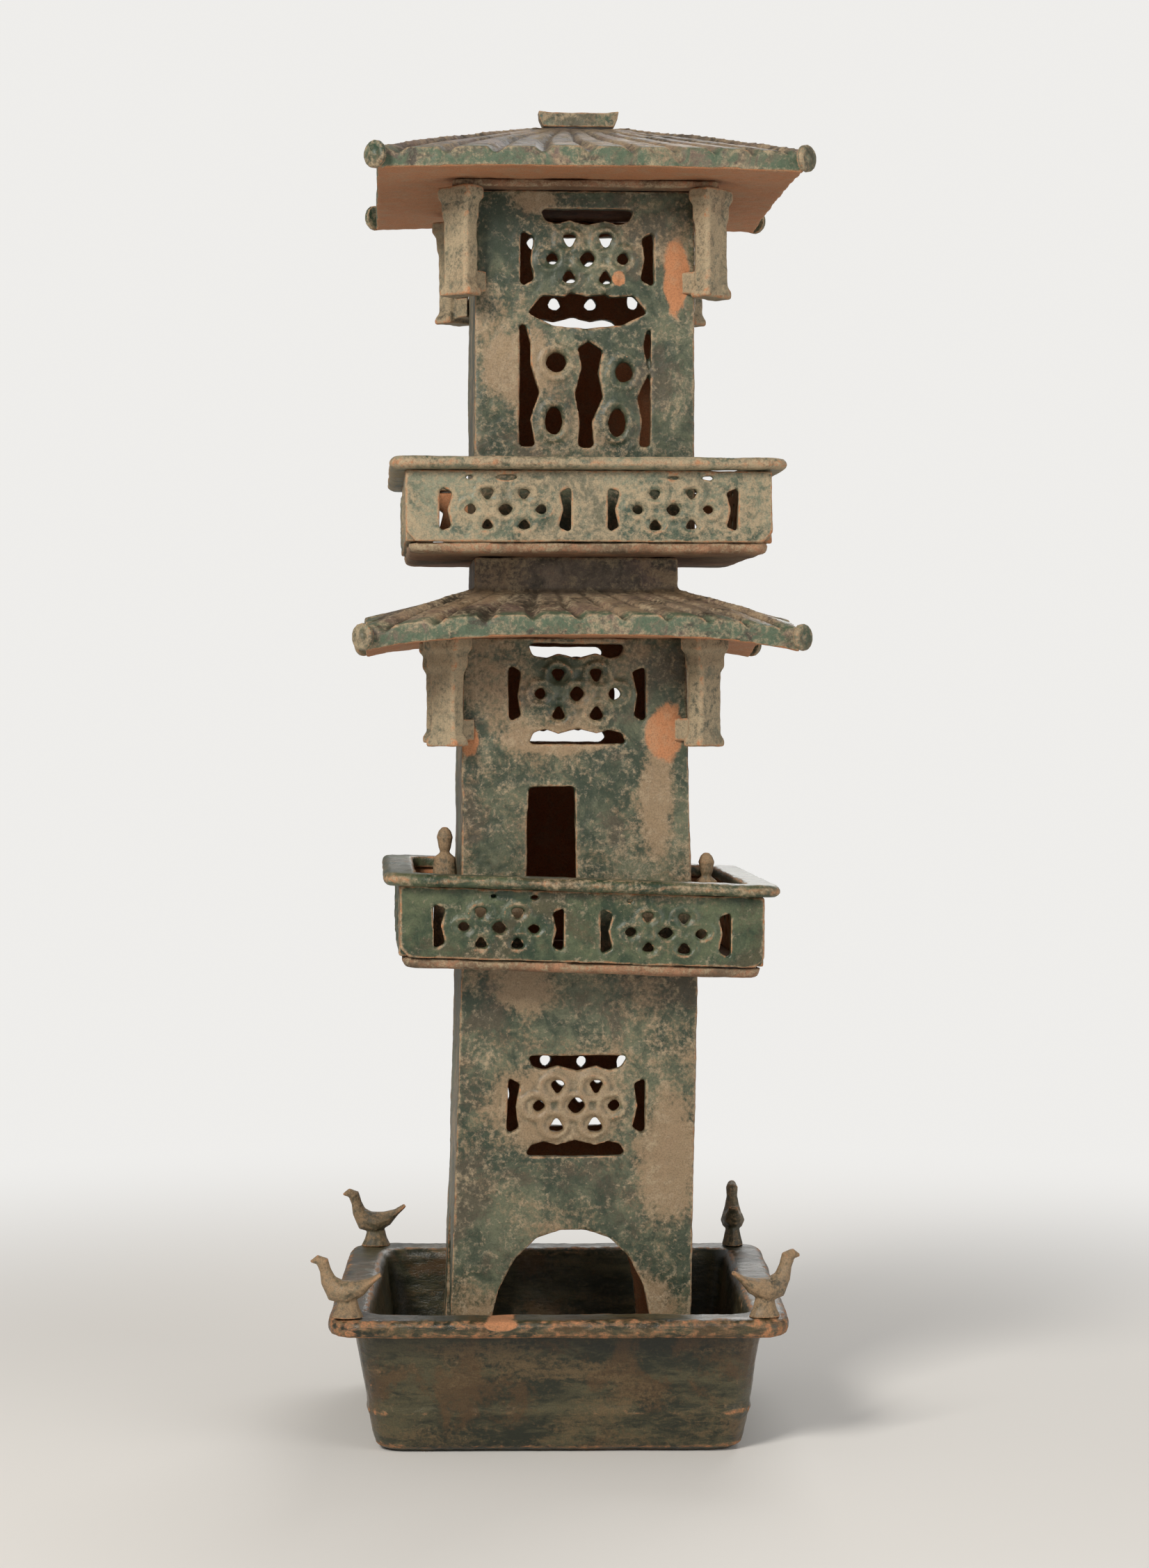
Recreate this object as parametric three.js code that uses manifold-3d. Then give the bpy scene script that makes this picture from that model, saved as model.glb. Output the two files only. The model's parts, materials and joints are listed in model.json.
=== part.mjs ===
// Pottery watchtower: a lead-glazed earthenware model of a timber tower, built of clay slabs in
// stacked sections. A pond basin carries an arched lower tower, then a balconied storey, a tiled
// roof with a neck, a second balconied storey and a hipped top roof.
// Millimetres, +Z up, front towards -Y, origin at the middle of the basin's underside.
import * as THREE from "three";
import { mergeVertices } from "three/addons/utils/BufferGeometryUtils.js";
import Module from "manifold-3d";

const wasm = await Module();
wasm.setup();

// Whole tower
const GAP = 0.3; // joint between pieces that rest on or touch each other
const WALL = 9; // clay slab thickness of walls and railings
const YAW = 2.8; // degrees the stack is turned in the basin

// Basin
const BASIN_HALF = 168;
const BASIN_HEIGHT = 103;
const LIP_HEIGHT = 14;
const LIP_OVERHANG = 19;
const BASIN_FOOT_HALF = 137;
const BASIN_WALL = 11;
const BASIN_FLOOR = 12;

// Sections: half width at foot and top, height, and sideways offset of the middle
const TOWER = { foot: 90, top: 88, height: 337.4, offset: 3, lean: 9 };
const MIDDLE = { foot: 86.5, top: 83, height: 237.4, offset: 10, lean: -2 };
const UPPER = { foot: 82, top: 81.5, height: 262, offset: 16, lean: 0 };

// Balconies
const FLOOR_HALF = 132;
const FLOOR_THICK = 8;
const RAIL_HALF = 134;
const RAIL_HEIGHT = 52;
const RIM_HALF = 145;
const RIM_INNER_HALF = 121;
const RIM_THICK = 9;
const RAIL_TILT = -0.036; // fall of the lower balcony towards +X, per mm

// Pierced lattice block in windows and railings
const WINDOW = { width: 84, height: 53, slot: 11 };
const RAIL_LATTICE = { width: 76, height: 41, slot: 10 };

// Roofs
const LOWER_ROOF = { half: 157, band: 11, topX: 76, topY: 76, rise: 34, droop: 12 };
const TOP_ROOF = { half: 153.5, band: 10, topX: 33, topY: 10, rise: 51, droop: 3 };
const ROOF_SEAT_HALF = 120; // level part of the underside, over walls and capitals
const NECK_HEIGHT = 26;
const TILE_ROWS = 9; // on each side
const TILE_HEIGHT = 4.5;
const TILE_LEAN = 30; // sideways run of the middle tile rows from top to eave
const HIP_SHARE = 0.05; // half width of a hip ridge as a share of the half eave
const HIP_HEIGHT = 7;
const DISC_RADIUS = 10;
const PLATE_HALF = 98.5;
const PLATE_THICK = 5.4;
const RIDGE_LENGTH = 60;
const RIDGE_HEIGHT = 12.3;
const RIDGE_THICK = 15;

// Corner brackets
const BRACKET_HEIGHT = 80;
const POST_HALF = 12;
const POST_THICK = 14;
const POST_OUT = 15.5; // from the wall corner to the middle of the post

// Levels, from the foot of the basin up
const Z_TOWER = BASIN_FLOOR + GAP;
const Z_BALCONY_1 = Z_TOWER + TOWER.height + GAP;
const Z_MIDDLE = Z_BALCONY_1 + FLOOR_THICK + GAP;
const Z_ROOF_1 = Z_MIDDLE + MIDDLE.height + GAP;
const Z_NECK = Z_ROOF_1 + LOWER_ROOF.rise;
const Z_BALCONY_2 = Z_NECK + NECK_HEIGHT + GAP;
const Z_UPPER = Z_BALCONY_2 + FLOOR_THICK + GAP;
const Z_PLATE = Z_UPPER + UPPER.height + GAP;
const Z_ROOF_2 = Z_PLATE + PLATE_THICK + GAP;

const glaze = (name, color, roughness) =>
  new THREE.MeshStandardMaterial({ name, color, roughness, metalness: 0 });
const GLAZE = {
  basin: glaze("basin_glaze", 0x2b2a1c, 0.35),
  wall: glaze("wall_glaze", 0x5a5e48, 0.6),
  rail: glaze("rail_glaze", 0x4c5a45, 0.55),
  tile: glaze("tile_glaze", 0x6d5f4c, 0.7),
  clay: glaze("bare_clay", 0x9a5a38, 0.85),
};

const tower = new THREE.Group();
const stack = new THREE.Group();
stack.rotation.z = THREE.MathUtils.degToRad(YAW);
tower.add(stack);

function addPiece(group, name, geometry, material) {
  geometry.computeVertexNormals();
  const mesh = new THREE.Mesh(geometry, material);
  mesh.name = name;
  group.add(mesh);
  return mesh;
}

// Turns a closed geometry into a solid that can be joined and cut
function solid(geometry) {
  const bare = new THREE.BufferGeometry();
  bare.setAttribute("position", geometry.getAttribute("position"));
  if (geometry.index) bare.setIndex(geometry.index);
  const merged = mergeVertices(bare, 1e-3);
  return new wasm.Manifold(
    new wasm.Mesh({
      numProp: 3,
      vertProperties: new Float32Array(merged.attributes.position.array),
      triVerts: new Uint32Array(merged.index.array),
    }),
  );
}

function geometryOf(manifold) {
  const mesh = manifold.getMesh();
  const geometry = new THREE.BufferGeometry();
  geometry.setAttribute("position", new THREE.BufferAttribute(mesh.vertProperties, 3));
  geometry.setIndex(new THREE.BufferAttribute(mesh.triVerts, 1));
  return geometry;
}

// Skins a row of rings, anticlockwise seen from the last one. The ends are capped, or joined
// to each other when the row is a loop.
function loft(rings, loop = false) {
  const count = rings[0].length;
  const points = rings.flat();
  const index = [];
  const spans = loop ? rings.length : rings.length - 1;
  for (let j = 0; j < spans; j++) {
    const a = j * count;
    const b = ((j + 1) % rings.length) * count;
    for (let i = 0; i < count; i++) {
      const k = (i + 1) % count;
      index.push(a + i, a + k, b + k, a + i, b + k, b + i);
    }
  }
  if (!loop) {
    const last = (rings.length - 1) * count;
    const middle = (ring) =>
      ring.reduce((sum, p) => sum.add(p), new THREE.Vector3()).divideScalar(ring.length);
    points.push(middle(rings[0]), middle(rings.at(-1)));
    for (let i = 0; i < count; i++) {
      const k = (i + 1) % count;
      index.push(points.length - 2, k, i, points.length - 1, last + i, last + k);
    }
  }
  const geometry = new THREE.BufferGeometry().setFromPoints(points);
  geometry.setIndex(index);
  return geometry;
}

// A level ring of a rectangle with round corners
function roundRing(hx, hy, radius, z, steps = 3) {
  const ring = [];
  for (let corner = 0; corner < 4; corner++) {
    const sx = corner === 0 || corner === 3 ? 1 : -1;
    const sy = corner < 2 ? 1 : -1;
    for (let i = 0; i <= steps; i++) {
      const turn = ((corner + i / steps) * Math.PI) / 2;
      const x = sx * (hx - radius) + radius * Math.cos(turn);
      const y = sy * (hy - radius) + radius * Math.sin(turn);
      ring.push(new THREE.Vector3(x, y, z));
    }
  }
  return ring;
}

// A ring of a rectangle with its corners lowered by droop. Tiles raise it in rows, set side by
// side along each eave and pushed sideways by lean, and a hip ridge raises each corner.
function roofRing(hx, hy, z, droop, tiles = null) {
  const corners = [[1, -1], [1, 1], [-1, 1], [-1, -1]];
  const across = [-0.46, -0.3, 0.3, 0.46]; // valley, shoulders of the tile row, valley
  const ring = [];
  corners.forEach(([ax, ay], side) => {
    const [bx, by] = corners[(side + 1) % 4];
    const add = (u, lift) => {
      const t = (u + 1) / 2;
      ring.push(new THREE.Vector3(hx * (ax + (bx - ax) * t), hy * (ay + (by - ay) * t),
        z - droop * Math.abs(u) ** 3 + lift));
    };
    const hip = HIP_SHARE;
    add(-1, tiles ? tiles.hip : 0);
    add(-1 + hip, tiles ? tiles.hip * 0.6 : 0);
    for (let row = 0; row < TILE_ROWS; row++) {
      for (const [i, place] of across.entries()) {
        const even = ((row + 0.5 + place) / TILE_ROWS) * 2 - 1;
        const u = even * (1 - hip * 1.3);
        const shift = tiles ? tiles.lean * (1 - u * u) : 0;
        add(u + shift, tiles && (i === 1 || i === 2) ? tiles.height : 0);
      }
    }
    add(1 - hip, tiles ? tiles.hip * 0.6 : 0);
  });
  return ring;
}

const ellipseRing = (rx, ry, z, count = 10) =>
  Array.from({ length: count }, (_, i) => {
    const turn = (i / count) * 2 * Math.PI;
    return new THREE.Vector3(rx * Math.cos(turn), ry * Math.sin(turn), z);
  });

// The outline of a hole cut by hand with a knife, so that no two are quite alike
const KNIFE_WOBBLE = 0.35;
const path = (points) => new THREE.Path(points.map(([x, z]) => new THREE.Vector2(
  x + KNIFE_WOBBLE * Math.sin(1.7 * x + 0.9 * z), z + KNIFE_WOBBLE * Math.cos(1.1 * x - 1.3 * z))));

// Lattice: seven small holes between interlaced straps, and slots round the block
function latticeHoles(cx, cz, { width, height, slot }, slots) {
  const holes = [];
  const put = (points, x, z, w, h, flip = 1) =>
    holes.push(path(points.map(([px, pz]) => [cx + x + px * w, cz + z + flip * pz * h])));
  const wedge = [[-0.5, 0.3], [-0.25, 0.5], [0.25, 0.5], [0.5, 0.3], [0.12, -0.5], [-0.12, -0.5]];
  const diamond = [[-0.5, 0], [-0.16, 0.42], [0.16, 0.42], [0.5, 0], [0.16, -0.42], [-0.16, -0.42]];
  for (const side of [-1, 1]) {
    put(wedge, side * width * 0.174, height * 0.262, width * 0.14, height * 0.19);
    put(wedge, side * width * 0.174, -height * 0.262, width * 0.14, height * 0.19, -1);
    put(diamond, side * width * 0.339, 0, width * 0.13, height * 0.2);
  }
  put(diamond, 0, 0, width * 0.165, height * 0.25);
  const reach = width * 0.45;
  const far = height / 2 + slot;
  const level = [
    [-reach, far], [reach, far], [reach - 4, height / 2 + 2], [width * 0.29, height / 2],
    [width * 0.174, height / 2 + 3], [0, height / 2 - 0.5], [-width * 0.174, height / 2 + 3],
    [-width * 0.29, height / 2], [-reach + 4, height / 2 + 2],
  ];
  if (slots.includes("top")) put(level, 0, 0, 1, 1);
  if (slots.includes("bottom")) put(level, 0, 0, 1, 1, -1);
  for (const side of [-1, 1]) {
    const upright = [
      [side * (width / 2 + slot - 0.5), -height * 0.4], [side * (width / 2 + slot - 0.5), height * 0.4],
      [side * (width / 2 + 1), height * 0.31], [side * (width / 2 + 4), 0],
      [side * (width / 2 + 1), -height * 0.31],
    ];
    put(upright, 0, 0, 1, 1);
  }
  return holes;
}

// A flat slab standing upright, its outer face at y = -half, turned to its side of the tower
function slab(outline, holes, thick, half, side) {
  const shape = new THREE.Shape(outline.map(([x, z]) => new THREE.Vector2(x, z)));
  shape.holes.push(...holes);
  const geometry = new THREE.ExtrudeGeometry(shape, { depth: thick, bevelEnabled: false });
  geometry.rotateX(Math.PI / 2);
  geometry.translate(0, thick - half, 0);
  return geometry.rotateZ((side * Math.PI) / 2);
}

// How far the lower balcony's fall reaches into the walls below and above it
function fallShare(z) {
  const below = (z - (Z_BALCONY_1 - 50)) / 50;
  const above = (Z_BALCONY_1 + 130 - z) / 55;
  return THREE.MathUtils.clamp(Math.min(below, above), 0, 1);
}

// Settles a piece the way the fired stack sits: tapered and leaning with its section, and
// falling towards +X round the lower balcony
function settle(geometry, zFoot, section) {
  const position = geometry.getAttribute("position");
  for (let i = 0; i < position.count; i++) {
    const z = position.getZ(i);
    const up = THREE.MathUtils.clamp((z - zFoot) / section.height, 0, 1);
    const narrow = 1 + (section.top / section.foot - 1) * up;
    const x = position.getX(i) * narrow;
    position.setXYZ(i, x + section.offset + section.lean * up, position.getY(i) * narrow,
      z + RAIL_TILT * x * fallShare(z));
  }
  return geometry;
}

// A section's offset alone, for the pieces that sit on it level
const level = (offset, top) => ({ foot: 1, top: 1, height: top, offset, lean: 0 });

const SIDES = ["front", "right", "back", "left"];

// Four slab walls: front and back run full width, the sides stand between them
function addWalls(prefix, zFoot, section, outlineOf, holesOf) {
  SIDES.forEach((name, side) => {
    const half = side % 2 ? section.foot - WALL - GAP : section.foot;
    const outline = outlineOf(name, half).map(([x, z]) => [x, z + zFoot]);
    const wall = slab(outline, holesOf(name, half), WALL, section.foot, side);
    addPiece(stack, `${prefix}_${name}`, settle(wall, zFoot, section), GLAZE.wall);
  });
}

// Basin: slab-built trough with a flat everted lip and a low moulding round the foot
function addBasin() {
  const lipFoot = BASIN_HEIGHT - LIP_HEIGHT;
  const bodyTop = BASIN_HALF - LIP_OVERHANG;
  const ring = (half, radius, z) => roundRing(half, half, radius, z, 4);
  const rings = [
    ring(BASIN_FOOT_HALF - 9, 14, 0),
    ring(BASIN_FOOT_HALF - 2, 20, 4),
    ring(BASIN_FOOT_HALF, 22, 11),
    ring(BASIN_FOOT_HALF + 2.6, 22, 26),
    ring(BASIN_FOOT_HALF + 4.4, 22, 30),
    ring(BASIN_FOOT_HALF + 3.6, 22, 36),
    ring(bodyTop, 22, lipFoot),
    ring(BASIN_HALF - 2, 24, lipFoot + 1),
    ring(BASIN_HALF, 26, lipFoot + 5),
    ring(BASIN_HALF - 0.5, 26, BASIN_HEIGHT - 3),
    ring(BASIN_HALF - 4, 24, BASIN_HEIGHT),
    ring(bodyTop - BASIN_WALL + 3, 18, BASIN_HEIGHT),
    ring(bodyTop - BASIN_WALL - 1, 16, BASIN_HEIGHT - 5),
    ring(BASIN_FOOT_HALF - BASIN_WALL, 14, BASIN_FLOOR + 4),
    ring(BASIN_FOOT_HALF - BASIN_WALL - 4, 12, BASIN_FLOOR),
  ];
  addPiece(tower, "basin", loft(rings), GLAZE.basin);
}

// Birds: hand-pinched, tail up, one on each corner of the basin's rim
const BIRD_SPINE = [
  // along, up, half width, half depth, from the tail to the beak
  [24, 31, 4, 1.5], [17, 26, 5.5, 2.5], [9, 21, 8, 6], [-1, 18, 10, 9], [-9, 20, 8.5, 9],
  [-14, 27, 6, 6], [-16, 34, 4.5, 4.5], [-18, 40, 5, 5], [-22, 42, 3.6, 3.6], [-27, 40.5, 1, 1],
];

function birdGeometry(stretch) {
  const centres = BIRD_SPINE.map(([x, z]) => new THREE.Vector3(x, 0, z * stretch));
  const rings = BIRD_SPINE.map(([, , wide, deep], i) => {
    const ahead = centres[Math.min(i + 1, centres.length - 1)];
    const along = ahead.clone().sub(centres[Math.max(i - 1, 0)]).normalize();
    const across = new THREE.Vector3(0, 1, 0);
    const up = new THREE.Vector3(-along.z, 0, along.x);
    return Array.from({ length: 10 }, (_, k) => {
      const turn = (k / 10) * 2 * Math.PI;
      return centres[i].clone()
        .addScaledVector(across, wide * Math.cos(turn))
        .addScaledVector(up, deep * Math.sin(turn));
    });
  });
  const pad = loft([ellipseRing(12, 9, 0), ellipseRing(9, 7.5, 6), ellipseRing(6, 5, 17 * stretch)]);
  return geometryOf(solid(loft(rings)).add(solid(pad)));
}

function addBirds() {
  const out = BASIN_HALF - 15;
  const perches = [
    // name, x, y, heading in degrees from -X, height stretch
    ["bird_front_left", -out, -out, 0, 1],
    ["bird_back_left", -out + 6, out, 8, 1.04],
    ["bird_front_right", out - 4, -out, 196, 1.06],
    ["bird_back_right", out - 8, out, 268, 1.1],
  ];
  for (const [name, x, y, heading, stretch] of perches) {
    const bird = addPiece(tower, name, birdGeometry(stretch), GLAZE.basin);
    bird.position.set(x, y, BASIN_HEIGHT + GAP);
    bird.rotation.z = THREE.MathUtils.degToRad(heading);
  }
}

// Lower tower: an arch in every wall, a lattice window over the front and back ones
function addLowerTower() {
  const crown = 143;
  const arch = (foot) => [
    [foot, 0], [foot * 0.9, 70], [foot * 0.8, 99], [foot * 0.63, 122], [foot * 0.4, 137],
    [foot * 0.14, crown],
  ];
  addWalls("lower_wall", Z_TOWER, TOWER, (name, half) => {
    const opening = arch(half - 22);
    return [
      [-half, 0], ...opening.map(([x, z]) => [-x, z]), ...opening.toReversed(), [half, 0],
      [half, TOWER.height], [-half, TOWER.height],
    ];
  }, (name) => name === "front" || name === "back"
    ? latticeHoles(0, 248, WINDOW, ["top", "bottom"]) : []);
}

// Balcony: floor slab, four pierced railings and a flat rim laid over them
function addBalcony(prefix, zFoot, offset) {
  const sit = (geometry) => settle(geometry, zFoot, level(offset, 1));
  const floor = loft([
    roundRing(FLOOR_HALF - 5, FLOOR_HALF - 5, 8, zFoot),
    roundRing(FLOOR_HALF - 1, FLOOR_HALF - 1, 10, zFoot + 2),
    roundRing(FLOOR_HALF, FLOOR_HALF, 11, zFoot + FLOOR_THICK),
  ]);
  addPiece(stack, `${prefix}_floor`, sit(floor), GLAZE.clay);
  const zRail = zFoot + FLOOR_THICK + GAP;
  const cut = 7; // corner cut at the foot of each full-width railing
  SIDES.forEach((name, side) => {
    const full = side % 2 === 0;
    const half = full ? RAIL_HALF - 0.5 : RAIL_HALF - WALL - GAP;
    const chamfer = full ? cut : 0;
    const outline = [
      [-half + chamfer, zRail], [half - chamfer, zRail], [half, zRail + cut],
      [half, zRail + RAIL_HEIGHT], [-half, zRail + RAIL_HEIGHT], [-half, zRail + cut],
    ];
    const zBlock = zRail + 23.5;
    const holes = [-1, 1].flatMap((end) =>
      latticeHoles(end * (full ? 61 : 60), zBlock, RAIL_LATTICE, []));
    for (const end of [-1, 1]) {
      const x = end * (full ? 61 : 60);
      holes.push(path([[x - 34, zRail + 48], [x + 34, zRail + 48], [x + 27, zRail + 45.2],
        [x + 13, zRail + 46.6], [x, zRail + 44.6], [x - 13, zRail + 46.6], [x - 27, zRail + 45.2]]));
    }
    const rail = slab(outline, holes, WALL, RAIL_HALF, side);
    addPiece(stack, `${prefix}_rail_${name}`, sit(rail), GLAZE.rail);
  });
  const zRim = zRail + RAIL_HEIGHT + GAP;
  const rim = loft([
    roundRing(RIM_INNER_HALF, RIM_INNER_HALF, 8, zRim),
    roundRing(RIM_HALF - 3, RIM_HALF - 3, 12, zRim),
    roundRing(RIM_HALF, RIM_HALF, 14, zRim + 3),
    roundRing(RIM_HALF, RIM_HALF, 14, zRim + RIM_THICK - 3),
    roundRing(RIM_HALF - 3, RIM_HALF - 3, 12, zRim + RIM_THICK),
    roundRing(RIM_INNER_HALF, RIM_INNER_HALF, 8, zRim + RIM_THICK),
  ], true);
  addPiece(stack, `${prefix}_rim`, sit(rim), GLAZE.rail);
}

// Middle storey: a doorway left of the middle, lattice windows front and back
function addMiddleStorey() {
  const door = { left: -36, right: 0, height: 127, slant: 3 };
  addWalls("middle_wall", Z_MIDDLE, MIDDLE, (name, half) => name === "front" ? [
    [-half, 0], [door.left - door.slant, 0], [door.left, door.height], [door.right - 1, door.height],
    [door.right, 0], [half, 0], [half, MIDDLE.height], [-half, MIDDLE.height],
  ] : [[-half, 0], [half, 0], [half, MIDDLE.height], [-half, MIDDLE.height]],
  (name) => name === "front" || name === "back"
    ? latticeHoles(2, Z_MIDDLE + 196, WINDOW, ["top", "bottom"]) : []);
}

// Guards: two small standing figures beside the middle storey's front corners
function addGuards() {
  const profile = [
    [9, 8, 0], [9.4, 8.4, 8], [8, 7, 38], [9.2, 6.6, 60], [8.2, 5.6, 71], [3.6, 3.6, 75],
    [4.8, 5, 79], [5.6, 5.8, 85], [6.2, 6.2, 87], [4.6, 4.6, 92], [2, 2, 95],
  ];
  const zFoot = Z_MIDDLE;
  for (const [name, side, stretch] of [["guard_left", -1, 1], ["guard_right", 1, 0.84]]) {
    const figure = loft(profile.map(([rx, ry, z]) => ellipseRing(rx, ry, z * stretch)));
    figure.translate(side * (MIDDLE.foot + 11.5), -MIDDLE.foot + 16, zFoot);
    addPiece(stack, name, settle(figure, zFoot, level(MIDDLE.offset, 1)), GLAZE.clay);
  }
}

// Corner bracket: a short arm from the wall corner, an upright post, a flared capital
function bracketGeometry(capitalHalf) {
  const box = (hx, hy, z) => roundRing(hx, hy, 2, z, 1);
  const thick = POST_THICK / 2;
  const post = loft([
    box(thick + 1.5, POST_HALF + 3, 0), box(thick + 1.5, POST_HALF + 3, 4), box(thick, POST_HALF, 9),
    box(thick, POST_HALF, 54), box(thick + 1, capitalHalf - 3, 59), box(thick + 1, capitalHalf - 3, 68),
    box(thick + 2.5, capitalHalf, 72), box(thick + 2.5, capitalHalf, BRACKET_HEIGHT),
  ]);
  post.translate(POST_OUT, 0, 0);
  const arm = new THREE.BoxGeometry(POST_OUT + 8, 15, 16);
  arm.translate(POST_OUT / 2 - 4, 0, 12);
  const notch = 30;
  const corner = new THREE.BoxGeometry(2 * notch, 2 * notch, 3 * notch);
  corner.rotateZ(Math.PI / 4);
  corner.translate(GAP * 2 - notch * Math.SQRT2, 0, 0);
  return geometryOf(solid(post).add(solid(arm)).subtract(solid(corner)));
}

function addBrackets(prefix, zFoot, section, sectionFoot, capitalHalf) {
  const up = (zFoot - sectionFoot) / section.height;
  const centre = section.offset + section.lean * up;
  const cornerHalf = section.foot + (section.top - section.foot) * up;
  SIDES.forEach((name, side) => {
    const turn = -Math.PI / 4 + (side * Math.PI) / 2;
    const bracket = addPiece(stack, `${prefix}_${side + 1}`, bracketGeometry(capitalHalf), GLAZE.wall);
    const reach = cornerHalf * Math.SQRT2;
    bracket.position.set(centre + reach * Math.cos(turn), reach * Math.sin(turn), zFoot);
    bracket.rotation.z = turn;
  });
}

// Roof: hipped slab with leaning tile rows and a raised ridge down each hip
function roofGeometry(roof, zFoot, neck) {
  const { half, band, topX, topY, rise, droop } = roof;
  const zEave = zFoot + band;
  const lean = TILE_LEAN / half;
  const slope = (share, sag) => {
    const z = zEave + (rise - band) * share - sag;
    const down = 1 - share;
    const tiles = {
      hip: HIP_HEIGHT * (share < 1 ? 1 : 0.4),
      height: TILE_HEIGHT * (share < 1 ? 1 : 0.2),
      lean: lean * (down - 0.5),
    };
    const reach = (top) => half + (top - half) * share;
    return roofRing(reach(topX), reach(topY), z, droop * down * down, tiles);
  };
  const rings = [
    roofRing(ROOF_SEAT_HALF, ROOF_SEAT_HALF, zFoot, 0),
    roofRing(half, half, zFoot, droop),
    slope(0, 0),
    slope(0.4, 1.4),
    slope(1, 0),
  ];
  if (neck) rings.push(roofRing(topX, topY, zFoot + rise + neck, 0));
  return loft(rings);
}

// Tile ends: a round disc of clay pressed against each corner of the eave
function addTileEnds(prefix, roof, zFoot, offset) {
  for (let corner = 0; corner < 4; corner++) {
    const turn = -Math.PI / 4 + (corner * Math.PI) / 2;
    const disc = new THREE.LatheGeometry([[0, 0], [DISC_RADIUS, 0], [DISC_RADIUS, 3.5],
      [DISC_RADIUS * 0.8, 5], [DISC_RADIUS * 0.45, 4.4], [DISC_RADIUS * 0.25, 5.6],
      [0, 6]].map(([r, y]) => new THREE.Vector2(r, y)), 14);
    disc.rotateZ(-Math.PI / 2);
    const end = addPiece(stack, `${prefix}_tile_end_${corner + 1}`, geometryOf(solid(disc)), GLAZE.tile);
    const reach = roof.half * Math.SQRT2 + GAP;
    end.position.set(offset + reach * Math.cos(turn), reach * Math.sin(turn),
      zFoot + roof.band - roof.droop);
    end.rotation.z = turn;
  }
}

function addLowerRoof() {
  const roof = roofGeometry(LOWER_ROOF, Z_ROOF_1, NECK_HEIGHT);
  roof.translate(MIDDLE.offset, 0, 0);
  addPiece(stack, "lower_roof", roof, GLAZE.tile);
  addTileEnds("lower_roof", LOWER_ROOF, Z_ROOF_1, MIDDLE.offset);
}

// Upper storey: the front is all openwork, a lattice over two chains of rings
function upperFrontHoles() {
  const z = (up) => Z_UPPER + up;
  const at = (points) => path(points.map(([x, up]) => [x + 2, z(up)]));
  const ringHole = (x, up, rx, rz) =>
    at(Array.from({ length: 10 }, (_, i) => {
      const turn = (i / 10) * 2 * Math.PI;
      return [x + rx * Math.cos(turn), up + rz * Math.sin(turn)];
    }));
  const window = { width: 78, height: 51, slot: 11 };
  return [
    ...latticeHoles(2, z(212), window, ["top"]),
    at([[-44, 172], [-34, 185], [-17, 183.5], [-13, 186.5], [0, 184], [13, 186.5], [17, 183.5],
      [34, 185], [44, 172], [26, 163], [0, 160], [-26, 163]]),
    ringHole(-23, 135, 7.8, 8), ringHole(-25, 92, 6.6, 10.5),
    ringHole(27, 128, 7.2, 8), ringHole(22, 91, 6.6, 10.5),
    at([[-51, 73], [-51, 163], [-47, 163], [-42, 150], [-42, 135], [-36, 113], [-43, 93], [-39, 73]]),
    at([[47, 73], [38, 73], [41, 92], [37, 110], [45, 128], [42, 146], [44, 160], [47, 160]]),
    at([[-7, 73], [-6, 92], [-10, 113], [-4, 133], [-8, 146], [1, 152], [12, 144], [8, 128],
      [12, 110], [3.5, 92], [4, 73]]),
  ];
}

function addUpperStorey() {
  addWalls("upper_wall", Z_UPPER, UPPER, (name, half) =>
    [[-half, 0], [half, 0], [half, UPPER.height], [-half, UPPER.height]],
  (name) => {
    if (name === "front") return upperFrontHoles();
    return name === "back" ? latticeHoles(0, Z_UPPER + 212, WINDOW, ["top", "bottom"]) : [];
  });
  const plate = loft([
    roundRing(PLATE_HALF, PLATE_HALF, 3, Z_PLATE, 1),
    roundRing(PLATE_HALF, PLATE_HALF, 3, Z_PLATE + PLATE_THICK, 1),
  ]);
  plate.translate(UPPER.offset, 0, 0);
  addPiece(stack, "wall_plate", plate, GLAZE.clay);
}

// Main ridge: a short block with flared ends on top of the top roof
function addTopRoof() {
  const roof = roofGeometry(TOP_ROOF, Z_ROOF_2, 0);
  roof.translate(UPPER.offset, 0, 0);
  addPiece(stack, "top_roof", roof, GLAZE.tile);
  addTileEnds("top_roof", TOP_ROOF, Z_ROOF_2, UPPER.offset);
  const half = RIDGE_LENGTH / 2;
  const outline = [[-half + 3, 0], [half - 3, 0], [half, 6], [half + 1, RIDGE_HEIGHT],
    [half - 9, RIDGE_HEIGHT - 1.5], [-half + 9, RIDGE_HEIGHT - 1.5], [-half - 1, RIDGE_HEIGHT],
    [-half, 6]];
  const ridge = slab(outline, [], RIDGE_THICK, RIDGE_THICK / 2, 0);
  ridge.translate(UPPER.offset, 0, Z_ROOF_2 + TOP_ROOF.rise + HIP_HEIGHT * 0.4 + GAP);
  addPiece(stack, "main_ridge", ridge, GLAZE.tile);
}

addBasin();
addBirds();
addLowerTower();
addBalcony("lower_balcony", Z_BALCONY_1, MIDDLE.offset + 1);
addMiddleStorey();
addGuards();
addBrackets("middle_bracket", Z_ROOF_1 - GAP - BRACKET_HEIGHT, MIDDLE, Z_MIDDLE, 18);
addLowerRoof();
addBalcony("upper_balcony", Z_BALCONY_2, UPPER.offset);
addUpperStorey();
addBrackets("upper_bracket", Z_PLATE - GAP - BRACKET_HEIGHT, UPPER, Z_UPPER, 16.5);
addTopRoof();

export default tower;
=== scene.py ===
import json
import math

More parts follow.
